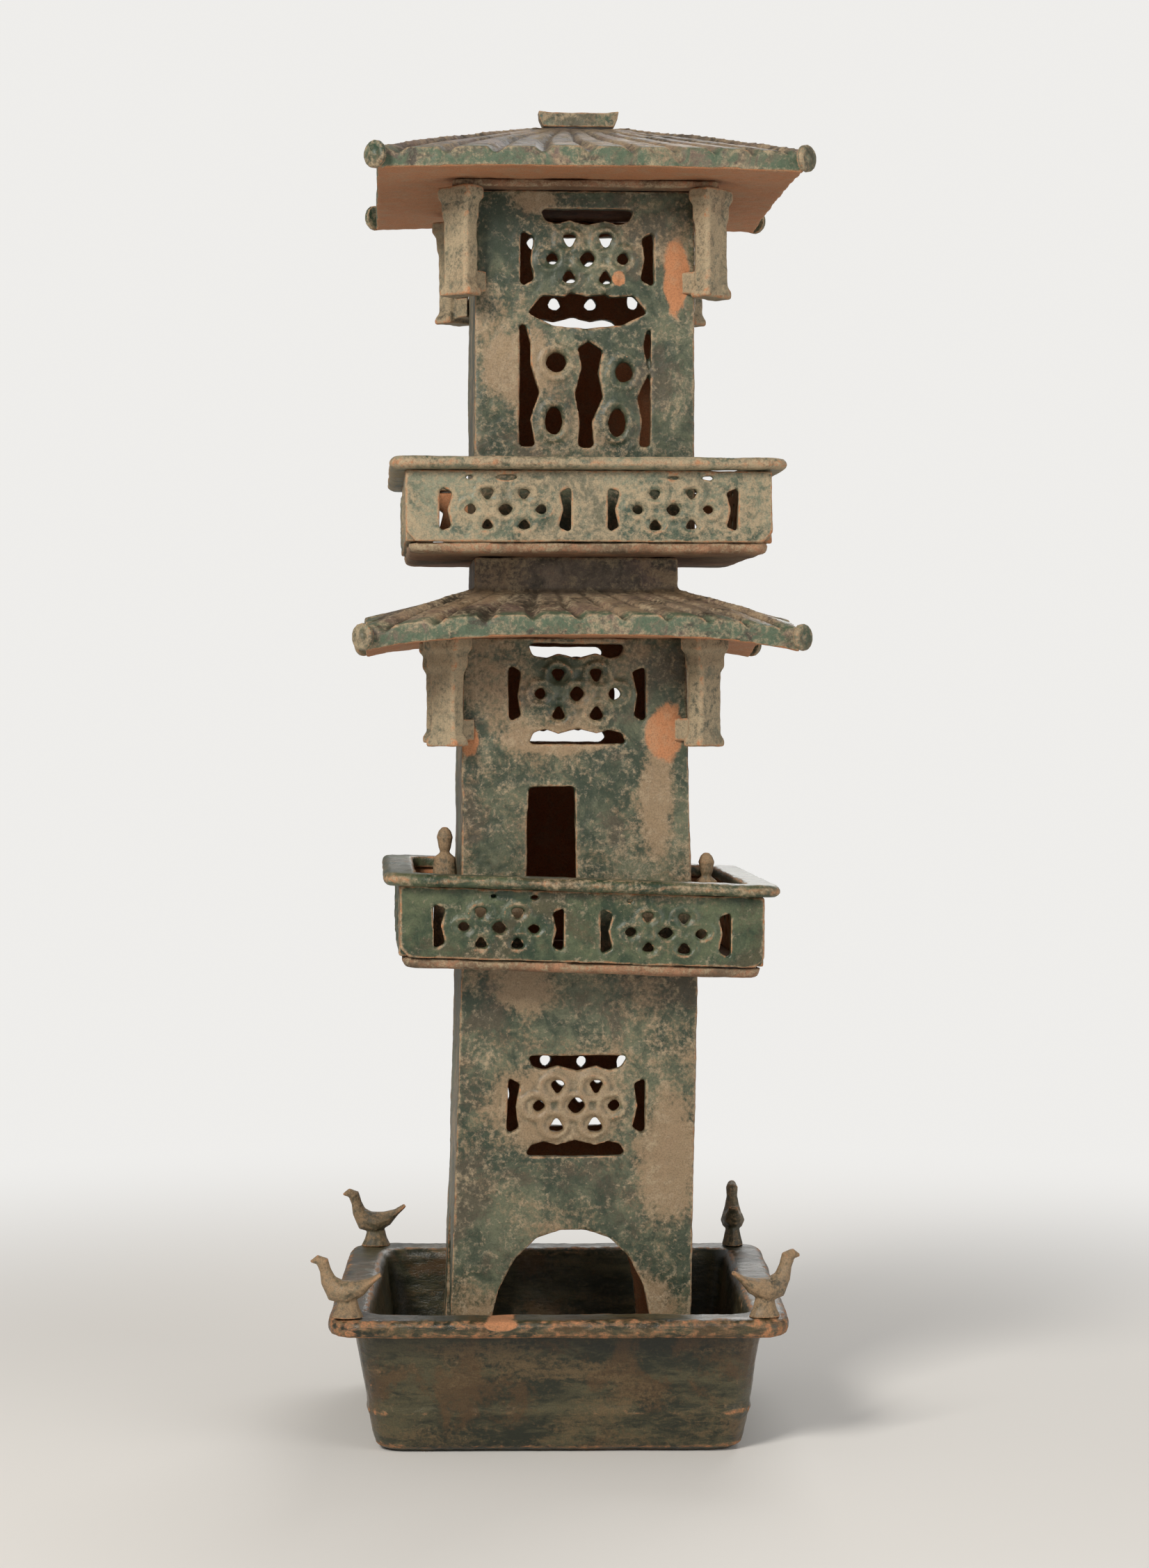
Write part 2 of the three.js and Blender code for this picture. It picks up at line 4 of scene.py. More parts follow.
import bpy
import numpy as np
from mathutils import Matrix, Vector


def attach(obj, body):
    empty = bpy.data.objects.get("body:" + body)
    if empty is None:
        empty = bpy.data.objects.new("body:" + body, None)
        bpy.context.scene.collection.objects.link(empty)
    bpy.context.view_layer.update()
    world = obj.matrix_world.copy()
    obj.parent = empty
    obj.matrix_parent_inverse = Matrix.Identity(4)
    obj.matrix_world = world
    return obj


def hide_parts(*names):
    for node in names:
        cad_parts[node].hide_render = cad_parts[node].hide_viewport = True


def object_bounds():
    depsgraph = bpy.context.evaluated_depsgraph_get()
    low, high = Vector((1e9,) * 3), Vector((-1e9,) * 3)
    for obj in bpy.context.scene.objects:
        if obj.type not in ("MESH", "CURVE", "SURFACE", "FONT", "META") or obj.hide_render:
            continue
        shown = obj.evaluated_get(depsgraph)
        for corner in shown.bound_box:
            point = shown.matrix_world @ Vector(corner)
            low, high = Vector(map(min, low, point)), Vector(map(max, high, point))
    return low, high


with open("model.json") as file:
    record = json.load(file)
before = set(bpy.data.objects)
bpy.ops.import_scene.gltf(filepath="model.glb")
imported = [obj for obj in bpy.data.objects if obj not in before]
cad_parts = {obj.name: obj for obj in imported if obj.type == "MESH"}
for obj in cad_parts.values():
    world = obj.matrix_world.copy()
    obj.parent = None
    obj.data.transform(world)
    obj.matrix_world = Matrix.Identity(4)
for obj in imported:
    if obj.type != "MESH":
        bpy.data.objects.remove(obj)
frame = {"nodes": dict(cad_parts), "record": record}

cad_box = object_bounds()
scene = bpy.context.scene
MM = 0.001

# Basin: a slab-built pond in one piece, glazed dark green-brown and still glossy, with level
# streaks from wiping and a tan rim where the glaze has worn. A chip on its front shows clay.
CREAM = (0.38, 0.30, 0.19)
ORANGE = (0.46, 0.20, 0.09)
BODY_OF_NODE = {
    node: body for body, nodes in frame["record"]["behaviour"]["bodies"].items() for node in nodes
}


def add_node(tree, kind, inputs=None, **settings):
    node = tree.nodes.new(kind)
    for name, value in settings.items():
        setattr(node, name, value)
    for name, value in (inputs or {}).items():
        if isinstance(value, bpy.types.NodeSocket):
            tree.links.new(value, node.inputs[name])
        else:
            node.inputs[name].default_value = value
    return node


# The shared weathering and painted shade: old lead green gone patchy, with brown stains, broad tan
# patches and cream deposits, worn to orange clay along edges, at scars and on faces that were never
# glazed. Concave hollows get painted shade, darkened to the deep glaze colour.
weathering_and_shade = bpy.data.node_groups.new("weathering_and_shade", "ShaderNodeTree")
for label, default in (
    ("Deep Glaze", (0.03, 0.05, 0.03, 1)),
    ("Thin Glaze", (0.15, 0.18, 0.12, 1)),
    ("Rim Glaze", (0.075, 0.11, 0.065, 1)),
    ("Deposit", (*CREAM, 1)),
    ("Clay", (*ORANGE, 1)),
    ("Stain", (0.10, 0.08, 0.05, 1)),
    ("Patch", (0.33, 0.225, 0.13, 1)),
    ("Patch Amount", 0.5),
    ("Deposit Amount", 0.5),
    ("Wear Amount", 0.5),
    ("Streak", 1.0),
):
    kind = "NodeSocketFloat" if isinstance(default, float) else "NodeSocketColor"
    weathering_and_shade.interface.new_socket(label, in_out="INPUT", socket_type=kind).default_value = default
for label, kind in (
    ("Color", "NodeSocketColor"),
    ("Roughness", "NodeSocketFloat"),
    ("Height", "NodeSocketFloat"),
):
    weathering_and_shade.interface.new_socket(label, in_out="OUTPUT", socket_type=kind)
look = add_node(weathering_and_shade, "NodeGroupInput").outputs


def calculate(operation, a, b):
    return add_node(weathering_and_shade, "ShaderNodeMath", {0: a, 1: b}, operation=operation).outputs[0]


def plus(a, b):
    return calculate("ADD", a, b)


def times(a, b):
    return calculate("MULTIPLY", a, b)


def centred(value, share):
    return times(calculate("SUBTRACT", value, 0.5), share)


def noise(per_metre, detail, roughness, place, distortion=0.0):
    settings = {"Vector": place, "Scale": per_metre, "Detail": detail, "Roughness": roughness,
                "Distortion": distortion}
    return add_node(weathering_and_shade, "ShaderNodeTexNoise", settings).outputs["Fac"]


def soft_step(value, low, high):
    ends = {"Value": value, "From Min": low, "From Max": high}
    return add_node(weathering_and_shade, "ShaderNodeMapRange", ends, interpolation_type="SMOOTHSTEP").outputs["Result"]


def cover(under, over, share):
    sockets = {"Factor": share, "A": under, "B": over}
    return add_node(weathering_and_shade, "ShaderNodeMix", sockets, data_type="RGBA").outputs["Result"]


def mask(name):
    return add_node(weathering_and_shade, "ShaderNodeAttribute", attribute_name=name).outputs["Fac"]


place = add_node(weathering_and_shade, "ShaderNodeTexCoord").outputs["Object"]
stretch = add_node(weathering_and_shade, "ShaderNodeCombineXYZ", {"X": 1.0, "Y": 1.0, "Z": look["Streak"]})
streaked = add_node(weathering_and_shade, "ShaderNodeVectorMath", {0: place, 1: stretch.outputs[0]},
                    operation="MULTIPLY").outputs[0]
elsewhere = add_node(weathering_and_shade, "ShaderNodeVectorMath", {0: place, 1: (3.1, 1.7, 5.3)},
                     operation="ADD").outputs[0]
patchy = noise(13, 8, 0.62, streaked, 0.6)
mottle = noise(70, 7, 0.7, streaked, 0.8)
fine = noise(310, 5, 0.7, place)
speck = noise(900, 2, 0.6, place)
worn = noise(38, 8, 0.7, place, 1.2)
wear_mask = mask("wear")

# Glaze: thin and deep pools, brown stains, tan patches, green eaves, painted shade in hollows.
pools = soft_step(plus(times(patchy, 0.55), times(mottle, 0.45)), 0.42, 0.60)
coat = cover(look["Deep Glaze"], look["Thin Glaze"], pools)
stained = soft_step(plus(noise(17, 5, 0.6, elsewhere, 0.7), times(fine, 0.25)), 0.62, 0.74)
coat = cover(coat, look["Stain"], times(stained, 0.75))
broad = plus(noise(8.5, 5, 0.6, streaked, 0.9), times(look["Patch Amount"], 0.2))
broad = plus(plus(broad, centred(fine, 0.6)), centred(mottle, 0.35))
broad = plus(broad, times(mask("tan"), 0.3))
coat = cover(coat, look["Patch"], times(soft_step(broad, 0.58, 0.80), 0.78))
coat = cover(coat, look["Rim Glaze"], times(mask("rim"), soft_step(mottle, 0.36, 0.56)))
# Painted shade: concave hollows, such as the valleys between roof tiles, are darkened to the deep glaze
# colour.
coat = cover(coat, look["Deep Glaze"], times(mask("hollow_shade"), 0.85))

# Crust and wear: cream deposits lie on the glaze, then edges wear and bare clay opens.
crust = plus(times(worn, 0.55), times(fine, 0.45))
crust = plus(crust, times(look["Deposit Amount"], 0.22))
crust = plus(crust, times(wear_mask, 0.10))
crusted = times(soft_step(crust, 0.60, 0.76), 0.85)
coat = cover(coat, look["Deposit"], crusted)
edge = times(plus(wear_mask, centred(mottle, 1.0)), look["Wear Amount"])
edged = soft_step(edge, 0.32, 0.7)
pale_clay = cover(look["Clay"], look["Deposit"], soft_step(fine, 0.35, 0.65))
coat = cover(coat, pale_clay, edged)
bared = plus(calculate("MAXIMUM", mask("bare"), mask("scar")), centred(worn, 1.0))
opened = soft_step(bared, 0.42, 0.62)
open_clay = cover(look["Clay"], look["Deposit"], times(soft_step(mottle, 0.42, 0.7), 0.45))
coat = cover(coat, open_clay, opened)

grime = plus(times(soft_step(speck, 0.3, 0.6), 0.5), 0.5)
grey = add_node(weathering_and_shade, "ShaderNodeCombineColor", {0: grime, 1: grime, 2: grime})
grimy = add_node(weathering_and_shade, "ShaderNodeMix", {"Factor": 0.55, "A": coat, "B": grey.outputs[0]},
                 data_type="RGBA", blend_type="MULTIPLY")
relief = plus(plus(times(fine, 0.5), times(mottle, 0.8)), times(crusted, 0.35))
add_node(weathering_and_shade, "NodeGroupOutput", {
    "Color": grimy.outputs["Result"],
    "Roughness": calculate("MAXIMUM", crusted, calculate("MAXIMUM", edged, opened)),
    "Height": calculate("SUBTRACT", relief, times(opened, 0.4)),
})


def glaze_finish(name, gloss, deep, thin, deposits, wear, **others):
    finish = bpy.data.materials.new(name)
    finish.use_nodes = True
    tree = finish.node_tree
    shader = tree.nodes["Principled BSDF"]
    amounts = {"Deep Glaze": (*deep, 1), "Thin Glaze": (*thin, 1), "Deposit Amount": deposits,
               "Wear Amount": wear}
    for label, value in others.items():
        amounts[label.replace("_", " ").title()] = (*value, 1) if isinstance(value, tuple) else value
    coat = add_node(tree, "ShaderNodeGroup", amounts, node_tree=weathering_and_shade)
    rough = add_node(tree, "ShaderNodeMapRange",
                     {"Value": coat.outputs["Roughness"], "To Min": gloss, "To Max": 0.88})
    bump = add_node(tree, "ShaderNodeBump",
                    {"Height": coat.outputs["Height"], "Strength": 0.5, "Distance": 1.2 * MM})
    tree.links.new(coat.outputs["Color"], shader.inputs["Base Color"])
    tree.links.new(rough.outputs["Result"], shader.inputs["Roughness"])
    tree.links.new(bump.outputs["Normal"], shader.inputs["Normal"])
    return finish


# Hand-made clay: a sharp solid is softened as wet clay is and made slightly uneven, then its
# points are marked for wear on edges, painted shade in hollows, bare faces, scars, tan spots and green eaves.
STACK_TURN = math.radians(2.8)
lumps = bpy.data.textures.new("hand_lumps", "CLOUDS")
lumps.noise_scale = 45 * MM
lumps.noise_depth = 3
pits = bpy.data.textures.new("surface_pits", "CLOUDS")
pits.noise_scale = 7 * MM
pits.noise_depth = 2


def make_plain_mesh(piece, name):
    graph = bpy.context.evaluated_depsgraph_get()
    mesh = bpy.data.meshes.new_from_object(piece.evaluated_get(graph))
    mesh.name = name
    piece.modifiers.clear()
    piece.data = mesh


def bend_of_surface(mesh, places, normals):
    """How far each point stands out of its neighbours, smoothed twice: over 0 on an edge."""
    ends = np.empty(len(mesh.edges) * 2, dtype=np.int64)
    mesh.edges.foreach_get("vertices", ends)
    a, b = ends.reshape(-1, 2).T
    span = places[b] - places[a]
    length = np.maximum(np.linalg.norm(span, axis=1), 1e-9)
    bend = np.zeros(len(places))
    number = np.zeros(len(places))
    np.add.at(bend, a, -(span * normals[a]).sum(1) / length)
    np.add.at(bend, b, (span * normals[b]).sum(1) / length)
    np.add.at(number, a, 1)
    np.add.at(number, b, 1)
    bend /= np.maximum(number, 1)
    for _ in range(2):
        spread = np.zeros(len(places))
        np.add.at(spread, a, bend[b])
        np.add.at(spread, b, bend[a])
        bend = 0.5 * bend + 0.5 * spread / np.maximum(number, 1)
    return bend


def front_spots(places, spots, fade):
    """Spots on the front half, each given in mm as x, z and its reach across and up."""
    share = np.zeros(len(places))
    for x, z, across, up in spots:
        away = np.hypot((places[:, 0] - x * MM) / (across * MM), (places[:, 2] - z * MM) / (up * MM))
        share = np.maximum(share, np.clip(fade - away, 0, 1) * (places[:, 1] < 0))
    return share


def outer_band(places, band_from):
    """The band that starts band_from mm from the middle of a square turned with the stack."""
    across = places[:, 0] * math.cos(STACK_TURN) + places[:, 1] * math.sin(STACK_TURN)
    along = places[:, 1] * math.cos(STACK_TURN) - places[:, 0] * math.sin(STACK_TURN)
    across = np.abs(across - (across.max() + across.min()) / 2)
    along = np.abs(along - (along.max() + along.min()) / 2)
    return np.clip((np.maximum(across, along) / MM - band_from) / 6, 0, 1)


def mark_points(mesh, bare_side, scars, tans, band_from):
    places = np.empty(len(mesh.vertices) * 3)
    mesh.vertices.foreach_get("co", places)
    places = places.reshape(-1, 3)
    normals = np.empty(len(mesh.vertices) * 3)
    mesh.vertex_normals.foreach_get("vector", normals)
    normals = normals.reshape(-1, 3)
    bend = bend_of_surface(mesh, places, normals)
    none = np.zeros(len(places))
    facing = (normals * np.array(bare_side)).sum(1) if bare_side else none
    masks = {
        "wear": np.clip(bend * 5.5, 0, 1),
        # painted shade: concave points, later darkened to the deep glaze colour
        "hollow_shade": np.clip(-bend * 9 - 0.08, 0, 1),
        "bare": np.clip((facing - 0.35) / 0.4, 0, 1),
        "scar": front_spots(places, scars, 1.35),
        "tan": front_spots(places, tans, 1.6),
        "rim": outer_band(places, band_from) if band_from else none,
    }
    for name, values in masks.items():
        layer = mesh.attributes.new(name, "FLOAT", "POINT")
        layer.data.foreach_set("value", values.astype(np.float32))


def model_in_clay(name, node, finish, voxel, lump=1.0, extra=(), bare_side=None, scars=(),
                  tans=(), band_from=0):
    points, faces = [], []
    for source in (frame["nodes"][node], *extra):
        start = len(points)
        points += [vertex.co.copy() for vertex in source.data.vertices]
        faces += [tuple(start + i for i in face.vertices) for face in source.data.polygons]
    mesh = bpy.data.meshes.new(name)
    mesh.from_pydata(points, [], faces)
    piece = bpy.data.objects.new(name, mesh)
    scene.collection.objects.link(piece)
    weld = piece.modifiers.new("weld", "WELD")
    weld.merge_threshold = 0.01 * MM
    remesh = piece.modifiers.new("remesh", "REMESH")
    remesh.mode = "VOXEL"
    remesh.voxel_size = voxel * MM
    remesh.use_smooth_shade = True
    soften = piece.modifiers.new("soften", "SMOOTH")
    soften.iterations = 2
    soften.factor = 0.5
    for label, texture, depth in (("lumps", lumps, 2.2), ("pits", pits, 0.8)):
        uneven = piece.modifiers.new(label, "DISPLACE")
        uneven.texture = texture
        uneven.texture_coords = "LOCAL"
        uneven.strength = depth * lump * MM
        uneven.mid_level = 0.5
    make_plain_mesh(piece, name)
    for vertex in piece.data.vertices:
        vertex.co.z = max(vertex.co.z, cad_box[0][2])
    mark_points(piece.data, bare_side, scars, tans, band_from)
    piece.data.materials.clear()
    piece.data.materials.append(finish)
    for source in extra:
        bpy.data.objects.remove(source)
    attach(piece, BODY_OF_NODE[node])
    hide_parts(node)


basin_glaze = glaze_finish(
    "basin_glaze", gloss=0.3, deep=(0.014, 0.017, 0.008), thin=(0.075, 0.066, 0.032),
    deposits=0.10, deposit=(0.17, 0.12, 0.06), wear=1.25, streak=3.4,
    stain=(0.085, 0.045, 0.016), patch=(0.13, 0.085, 0.038), patch_amount=0.4)
RIM_CHIP = (-42, 100, 14, 5)
model_in_clay("pond_basin", "basin", basin_glaze, voxel=2.2, scars=[RIM_CHIP])

# Birds: four small birds pinched from clay and luted to the corners of the rim, crusted
# tan over the same dark glaze.
bird_glaze = glaze_finish(
    "bird_glaze", gloss=0.5, deep=(0.05, 0.045, 0.025), thin=(0.17, 0.14, 0.08),
    deposits=0.75, deposit=(0.30, 0.20, 0.11), wear=0.8)
for corner in ("front_left", "back_left", "front_right", "back_right"):
    model_in_clay("duck_" + corner, "bird_" + corner, bird_glaze, voxel=0.9, lump=0.5)

# Walls: slabs cut with arches, a doorway and lattice windows, luted at the corners. Glazed grey
# green outside with tan patches, bare orange inside and where a bracket has pulled glaze away.
wall_glaze = glaze_finish(
    "wall_glaze", gloss=0.42, deep=(0.030, 0.045, 0.026), thin=(0.125, 0.135, 0.082),
    deposits=0.42, wear=0.7, stain=(0.075, 0.058, 0.036), patch_amount=0.55)
SIDES = ("front", "right", "back", "left")
TAN_SPOTS = {
    "lower_wall_front": [(-4, 248, 38, 26), (-22, 335, 22, 18), (82, 205, 18, 40),
                         (-62, 60, 22, 48), (62, 90, 18, 26)],
    "middle_wall_front": [(74, 480, 10, 40), (0, 520, 30, 8), (-50, 395, 22, 18)],
    "upper_wall_front": [(-28, 795, 20, 18), (-20, 920, 14, 8)],
}
SCARS = {
    "middle_wall_front": [(80, 525, 16, 26), (-66, 520, 8, 14)],
    "upper_wall_front": [(88, 865, 11, 34), (45, 862, 6, 7)],
}

# Raised strands: a ring of clay round every hole of a lattice, so that two strands run side by
# side along each strap. The tree turns marked points into rings of their own size and turn.
strand_tree = bpy.data.node_groups.new("lattice_strands", "GeometryNodeTree")
for label, kind, way in (
    ("Geometry", "NodeSocketGeometry", "INPUT"),
    ("Thickness", "NodeSocketFloat", "INPUT"),
    ("Finish", "NodeSocketMaterial", "INPUT"),
    ("Geometry", "NodeSocketGeometry", "OUTPUT"),
):
    strand_tree.interface.new_socket(label, in_out=way, socket_type=kind)
given = add_node(strand_tree, "NodeGroupInput").outputs
ring_path = add_node(strand_tree, "GeometryNodeCurvePrimitiveCircle", {"Resolution": 16, "Radius": 1.0})
span_of, turn_of = (
    add_node(strand_tree, "GeometryNodeInputNamedAttribute", {"Name": name}, data_type="FLOAT_VECTOR")
    for name in ("span", "turn")
)
placed = add_node(strand_tree, "GeometryNodeInstanceOnPoints", {
    "Points": given["Geometry"], "Instance": ring_path.outputs[0],
    "Scale": span_of.outputs["Attribute"], "Rotation": turn_of.outputs["Attribute"],
})
real = add_node(strand_tree, "GeometryNodeRealizeInstances", {0: placed.outputs[0]})
section = add_node(strand_tree, "GeometryNodeCurvePrimitiveCircle",
                   {"Resolution": 8, "Radius": given["Thickness"]})
tube = add_node(strand_tree, "GeometryNodeCurveToMesh",
                {"Curve": real.outputs[0], "Profile Curve": section.outputs[0]})
glazed = add_node(strand_tree, "GeometryNodeSetMaterial",
                  {"Geometry": tube.outputs[0], "Material": given["Finish"]})
add_node(strand_tree, "NodeGroupOutput", {0: glazed.outputs[0]})
STRAND_INPUTS = {
    item.name: item.identifier for item in strand_tree.interface.items_tree if item.in_out == "INPUT"
}

# The mould: seven holes, placed and sized as shares of the lattice's width and height.
HOLE_PLACES = [(-0.174, 0.262), (0.174, 0.262), (-0.339, 0), (0, 0), (0.339, 0),
               (-0.174, -0.262), (0.174, -0.262)]
RING_ACROSS = 0.118
RING_UP = 0.17


def mould_rings(along, up, width, height):
    return [(along + x * width, up + z * height, width * RING_ACROSS, height * RING_UP)
            for x, z in HOLE_PLACES]


def raised_strands(rings, side_turn, face, middle, thickness, finish):
    """Rings in mm on one side of a square section, whose half width is face and which stands
    middle off the axis."""
    places = []
    for along, up, _, _ in rings:
        x = along * math.cos(side_turn) + face * math.sin(side_turn) + middle
        y = along * math.sin(side_turn) - face * math.cos(side_turn)
        places.append(((x * math.cos(STACK_TURN) - y * math.sin(STACK_TURN)) * MM,
                       (x * math.sin(STACK_TURN) + y * math.cos(STACK_TURN)) * MM, up * MM))
    mesh = bpy.data.meshes.new("strand_places")
    mesh.from_pydata(places, [], [])
    span = mesh.attributes.new("span", "FLOAT_VECTOR", "POINT")
    span.data.foreach_set("vector", [size * MM for _, _, across, up in rings for size in (across, up, 1)])
    turn = mesh.attributes.new("turn", "FLOAT_VECTOR", "POINT")
    turn.data.foreach_set("vector", [math.pi / 2, 0, side_turn + STACK_TURN] * len(places))
    strands = bpy.data.objects.new("lattice_strands", mesh)
    scene.collection.objects.link(strands)
    modifier = strands.modifiers.new("strands", "NODES")
    modifier.node_group = strand_tree
    modifier[STRAND_INPUTS["Thickness"]] = thickness * MM
    modifier[STRAND_INPUTS["Finish"]] = finish
    make_plain_mesh(strands, "lattice_strands")
    return strands


# Each storey's lattice in mm: height of its middle, the wall's face and middle off the axis.
STOREYS = {"lower": (248, 89, 7), "middle": (554, 84, 11), "upper": (876, 81.8, 17)}
WINDOW = (84, 53)
OPENWORK_WINDOW = (78, 51)
RING_CHAINS = [(-22, 799.6, 11.5, 12), (-24, 756.6, 10, 14.5), (28, 792.6, 11, 12),
               (23, 755.6, 10, 14.5)]
for storey, (lattice_up, face, middle) in STOREYS.items():
    for quarter, side in enumerate(SIDES):
        side_turn = quarter * math.pi / 2
        facing = side_turn - math.pi / 2 + STACK_TURN
        node = f"{storey}_wall_{side}"
        raised = []
        if side in ("front", "back"):
            openwork = node == "upper_wall_front"
            rings = mould_rings(0, lattice_up, *(OPENWORK_WINDOW if openwork else WINDOW))
            rings += RING_CHAINS if openwork else []
            raised = [raised_strands(rings, side_turn, face, middle, 1.7, wall_glaze)]
        model_in_clay(
            f"{storey}_storey_wall_{side}", node, wall_glaze,
            voxel=1.5 if side == "front" else 2.5, extra=raised,
            bare_side=(-math.cos(facing), -math.sin(facing), 0),
            scars=SCARS.get(node, ()), tans=TAN_SPOTS.get(node, ()))

# Balconies: a bare floor slab, four railings pierced like the windows and a flat rim on top.
# The lower one is the darker green. The upper one is paler, with more cream in the lattice.
lower_rail_glaze = glaze_finish(
    "lower_rail_glaze", gloss=0.36, deep=(0.020, 0.040, 0.020), thin=(0.095, 0.115, 0.060),
    deposits=0.30, wear=0.85, stain=(0.07, 0.058, 0.03), patch_amount=0.15)
upper_rail_glaze = glaze_finish(
    "upper_rail_glaze", gloss=0.42, deep=(0.028, 0.055, 0.034), thin=(0.20, 0.21, 0.14),
    deposits=0.72, wear=0.9, stain=(0.15, 0.13, 0.08), patch=(0.36, 0.26, 0.15), patch_amount=0.45)
bare_clay = glaze_finish(
    "bare_clay", gloss=0.8, deep=(0.20, 0.11, 0.06), thin=(0.40, 0.20, 0.11), deposits=0.35, wear=0.4)
RAIL_FACE = 134
RAIL_LATTICE = (76, 41)
LATTICE_APART = 61
LATTICE_ABOVE_FOOT = 23.5
LOWER_FALL = -0.036
for level, rail_glaze, middle, foot, fall in (
    ("lower", lower_rail_glaze, 11, 358.6, LOWER_FALL),
    ("upper", upper_rail_glaze, 16, 664.9, 0),
):
    for quarter, side in enumerate(SIDES):
        side_turn = quarter * math.pi / 2
        facing = side_turn - math.pi / 2 + STACK_TURN
        raised = []
        for along in (-LATTICE_APART, LATTICE_APART):
            x = along * math.cos(side_turn) + RAIL_FACE * math.sin(side_turn)
            rings = mould_rings(along, foot + LATTICE_ABOVE_FOOT + fall * x, *RAIL_LATTICE)
            raised.append(raised_strands(rings, side_turn, RAIL_FACE, middle, 1.4, rail_glaze))
        model_in_clay(
            f"{level}_railing_{side}", f"{level}_balcony_rail_{side}", rail_glaze,
            voxel=1.4, lump=0.7, extra=raised, bare_side=(-math.cos(facing), -math.sin(facing), 0))
    model_in_clay(f"{level}_railing_cap", f"{level}_balcony_rim", rail_glaze,
                  voxel=1.8, lump=0.8)
    model_in_clay(f"{level}_balcony_slab", f"{level}_balcony_floor", bare_clay,
                  voxel=2.8, lump=0.8)

# Guards: two plain standing figures on the lower balcony, pinched from clay and crusted like
# the birds.
for side in ("left", "right"):
    model_in_clay(f"standing_{side}", f"guard_{side}", bird_glaze, voxel=0.9, lump=0.4)

# Brackets: a short arm, a post and a flared capital on each corner, under both roofs, lumpy
# under a thick cream crust.
bracket_glaze = glaze_finish(
    "bracket_glaze", gloss=0.55, deep=(0.07, 0.075, 0.05), thin=(0.22, 0.20, 0.13),
    deposits=0.95, wear=1.0)
for storey in ("middle", "upper"):
    for corner in range(1, 5):
        model_in_clay(f"{storey}_corner_bracket_{corner}", f"{storey}_bracket_{corner}",
                      bracket_glaze, voxel=1.3, lump=1.1)

# Wall plate: a thin slab of bare clay that lies on the upper storey's wall tops, under the
# top roof.
model_in_clay("plate_under_roof", "wall_plate", bare_clay, voxel=1.8, lump=0.6)

# Roofs: a slab dressed with rows of tiles, with a round tile end on each corner and a short
# ridge on the top one. Brown and tan above, green along the eaves, bare orange underneath.
tile_glaze = glaze_finish(
    "tile_glaze", gloss=0.5, deep=(0.045, 0.036, 0.024), thin=(0.22, 0.165, 0.115),
    deposits=0.5, wear=0.6, stain=(0.17, 0.11, 0.085), patch_amount=0.6)
eave_glaze = glaze_finish(
    "eave_glaze", gloss=0.42, deep=(0.03, 0.06, 0.035), thin=(0.19, 0.20, 0.125),
    deposits=0.6, wear=0.8)
EAVES_FROM = 144
for roof in ("lower_roof", "top_roof"):
    model_in_clay(f"{roof}_tiles", roof, tile_glaze, voxel=1.7, bare_side=(0, 0, -1),
                  band_from=EAVES_FROM)
    for corner in range(1, 5):
        model_in_clay(f"{roof}_disc_{corner}", f"{roof}_tile_end_{corner}", eave_glaze,
                      voxel=0.9, lump=0.5)
model_in_clay("roof_ridge", "main_ridge", eave_glaze, voxel=1.0, lump=0.8)

# Studio: a pale floor that fades into a pale surround, and three soft lamps, the key from the
# upper left. The camera stands 2.47 m off, a little below the lower roof, at the photo's angle.
PALE = (0.86, 0.85, 0.83, 1)
camera_data = bpy.data.cameras.new("camera")
camera_data.lens = 73.8
camera_data.sensor_fit = "VERTICAL"
camera_data.sensor_height = 36
camera = bpy.data.objects.new("camera", camera_data)
camera.location = (-0.022, -2.47, 0.553)
camera.rotation_euler = (math.radians(90 - 1.575), 0, math.radians(-0.82))
scene.collection.objects.link(camera)
scene.camera = camera
scene.view_settings.view_transform = "Standard"

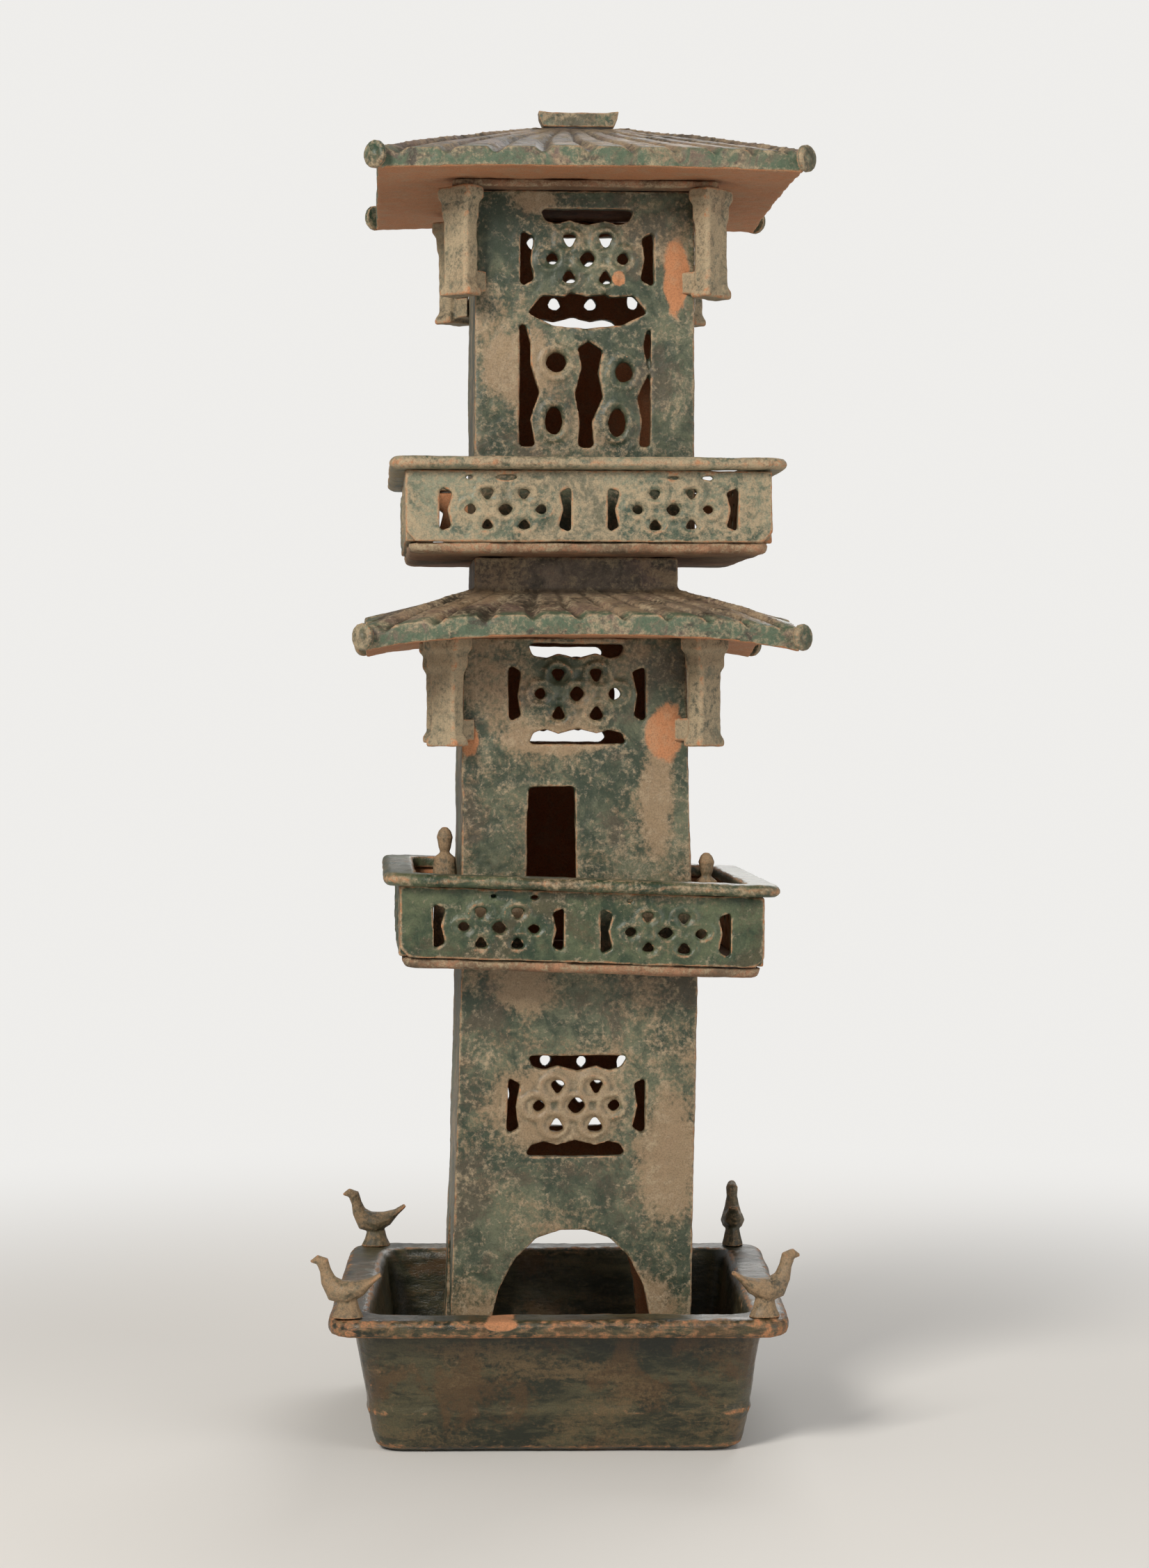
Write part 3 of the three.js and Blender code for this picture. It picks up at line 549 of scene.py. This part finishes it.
for name, lamp_place, size, power, colour in (
    ("key", (-1.3, -2.1, 1.9), 0.8, 68, (1.0, 0.95, 0.88)),
    ("fill", (2.0, -1.6, 0.9), 1.6, 20, (1.0, 0.98, 0.95)),
    ("back", (0.6, 2.0, 1.6), 1.4, 26, (1.0, 0.98, 0.95)),
):
    lamp_data = bpy.data.lights.new(name, "AREA")
    lamp_data.size = size
    lamp_data.energy = power
    lamp_data.color = colour
    lamp = bpy.data.objects.new(name, lamp_data)
    lamp.location = lamp_place
    towards_tower = Vector((0, 0, 0.5)) - Vector(lamp_place)
    lamp.rotation_euler = towards_tower.to_track_quat("-Z", "Y").to_euler()
    scene.collection.objects.link(lamp)

scene.world = bpy.data.worlds.new("surround")
scene.world.use_nodes = True
air = scene.world.node_tree
air.nodes.clear()
seen = add_node(air, "ShaderNodeLightPath").outputs["Is Camera Ray"]
glow = add_node(air, "ShaderNodeBackground", {0: (0.88, 0.86, 0.84, 1), 1: 0.34})
backdrop = add_node(air, "ShaderNodeBackground", {0: PALE, 1: 1.0})
surround = add_node(air, "ShaderNodeMixShader", {0: seen, 1: glow.outputs[0], 2: backdrop.outputs[0]})
add_node(air, "ShaderNodeOutputWorld", {0: surround.outputs[0]})

FLOOR_HALF = 6
floor_mesh = bpy.data.meshes.new("floor")
floor_mesh.from_pydata(
    [(x * FLOOR_HALF, y * FLOOR_HALF, 0) for x, y in ((-1, -1), (1, -1), (1, 1), (-1, 1))],
    [], [(0, 1, 2, 3)])
studio_floor = bpy.data.objects.new("floor", floor_mesh)
scene.collection.objects.link(studio_floor)
floor_finish = bpy.data.materials.new("pale_floor")
floor_finish.use_nodes = True
ground = floor_finish.node_tree
matt = ground.nodes["Principled BSDF"]
matt.inputs["Base Color"].default_value = (0.7, 0.69, 0.67, 1)
matt.inputs["Roughness"].default_value = 0.9
away = add_node(ground, "ShaderNodeVectorMath",
                {0: add_node(ground, "ShaderNodeTexCoord").outputs["Object"]}, operation="LENGTH")
fade = add_node(ground, "ShaderNodeMapRange",
                {"Value": away.outputs["Value"], "From Min": 0.45, "From Max": 1.5},
                interpolation_type="SMOOTHSTEP")
share = add_node(ground, "ShaderNodeMath", {
    0: fade.outputs["Result"],
    1: add_node(ground, "ShaderNodeLightPath").outputs["Is Camera Ray"],
}, operation="MULTIPLY")
pale = add_node(ground, "ShaderNodeEmission", {0: PALE})
faded = add_node(ground, "ShaderNodeMixShader",
                 {0: share.outputs[0], 1: matt.outputs[0], 2: pale.outputs[0]})
ground.links.new(faded.outputs[0], ground.nodes["Material Output"].inputs["Surface"])
floor_mesh.materials.append(floor_finish)
